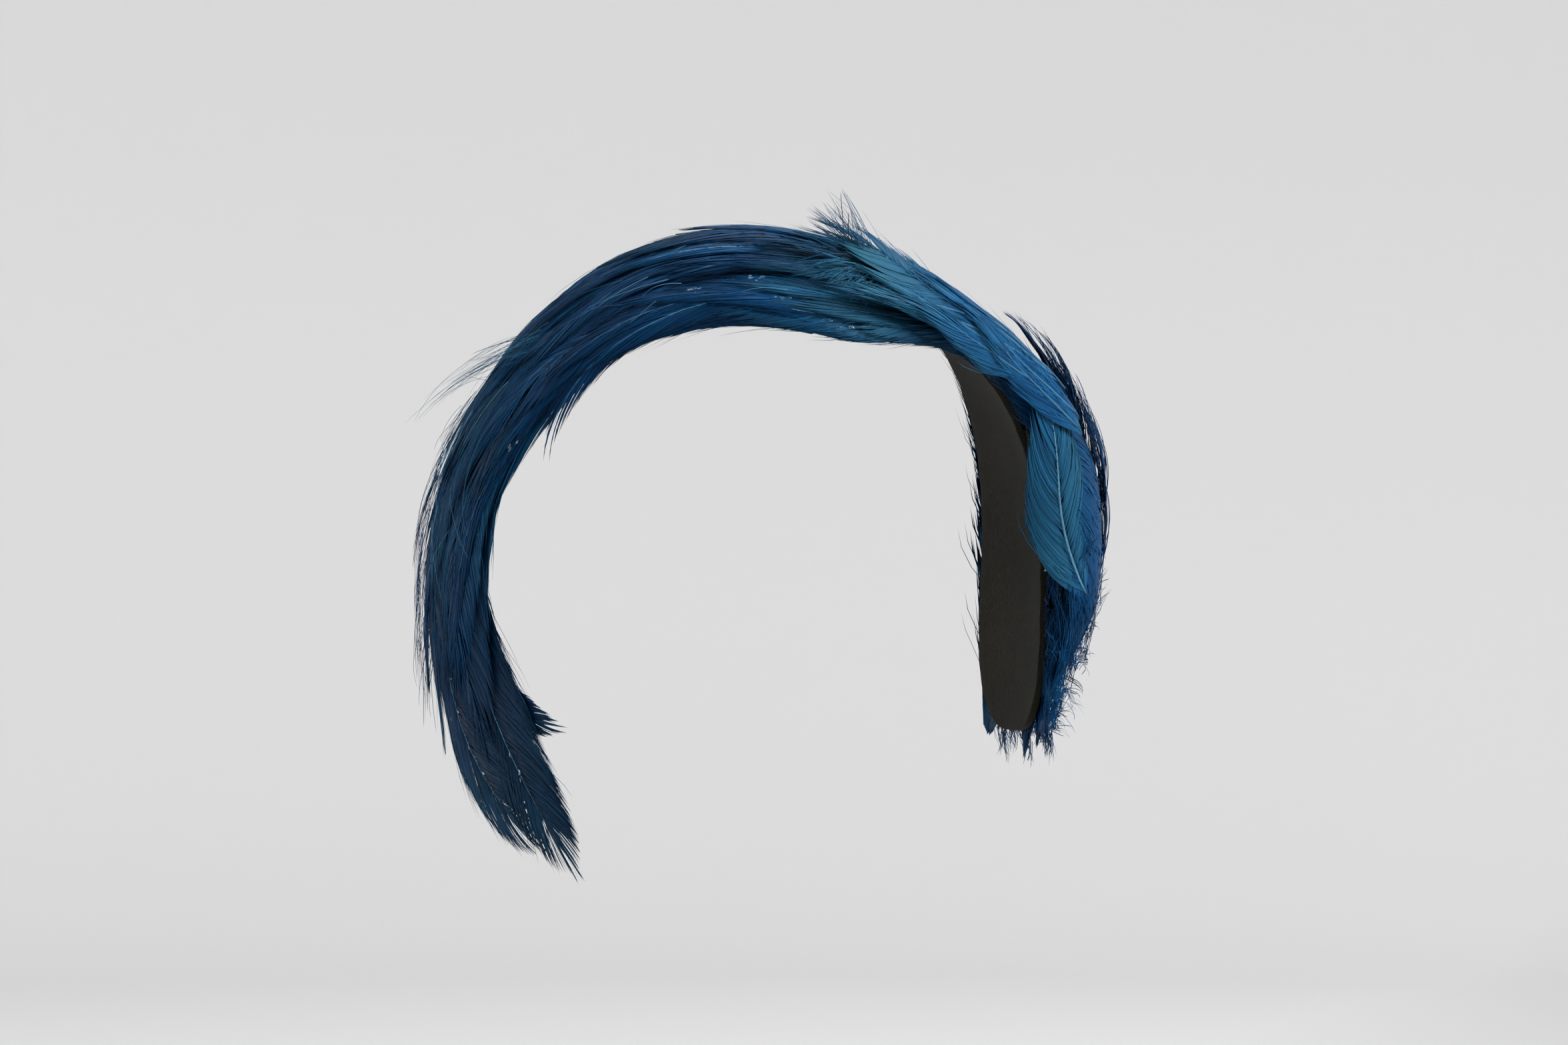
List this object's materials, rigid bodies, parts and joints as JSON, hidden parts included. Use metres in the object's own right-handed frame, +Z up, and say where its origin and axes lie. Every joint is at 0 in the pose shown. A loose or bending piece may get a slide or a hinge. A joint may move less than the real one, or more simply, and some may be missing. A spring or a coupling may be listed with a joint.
{
  "type": "feather headband",
  "caption": "Stiff cloth-covered headband from ear to ear, covered with overlapping long blue feathers that sweep to one side, end in soft tips on the cheek and rise in a small crown tuft.",
  "frame": {"origin": "middle of the band's inner face, where it sits on the crown of the wearer's head", "axes": "+Z up with the head held upright, -Y the way the wearer faces, +X towards the wearer's left ear"},
  "size_m": [0.1911, 0.1245, 0.1734],
  "materials": {
    "band_cloth": "matt dark olive cloth",
    "feather_blue": "soft sheen of dyed feather"
  },
  "bodies": {
    "root": {"base_band": "band_cloth", "ear_down": "feather_blue", "front_feather_01": "feather_blue", "front_feather_02": "feather_blue", "front_feather_03": "feather_blue", "front_feather_04": "feather_blue", "front_feather_05": "feather_blue", "front_feather_06": "feather_blue", "front_feather_07": "feather_blue", "front_feather_08": "feather_blue", "front_feather_09": "feather_blue", "front_feather_10": "feather_blue", "back_feather_01": "feather_blue", "back_feather_02": "feather_blue", "back_feather_03": "feather_blue", "back_feather_04": "feather_blue", "back_feather_05": "feather_blue", "back_feather_06": "feather_blue", "back_feather_07": "feather_blue", "back_feather_08": "feather_blue", "back_feather_09": "feather_blue", "back_feather_10": "feather_blue", "middle_feather_01": "feather_blue", "middle_feather_02": "feather_blue", "middle_feather_03": "feather_blue", "middle_feather_04": "feather_blue", "middle_feather_05": "feather_blue", "middle_feather_06": "feather_blue", "middle_feather_07": "feather_blue", "middle_feather_08": "feather_blue", "middle_feather_09": "feather_blue", "cheek_feather_lower": "feather_blue", "cheek_feather_long": "feather_blue", "cheek_feather_front": "feather_blue", "lifted_feather": "feather_blue", "crown_feather": "feather_blue"}
  },
  "joints": []
}
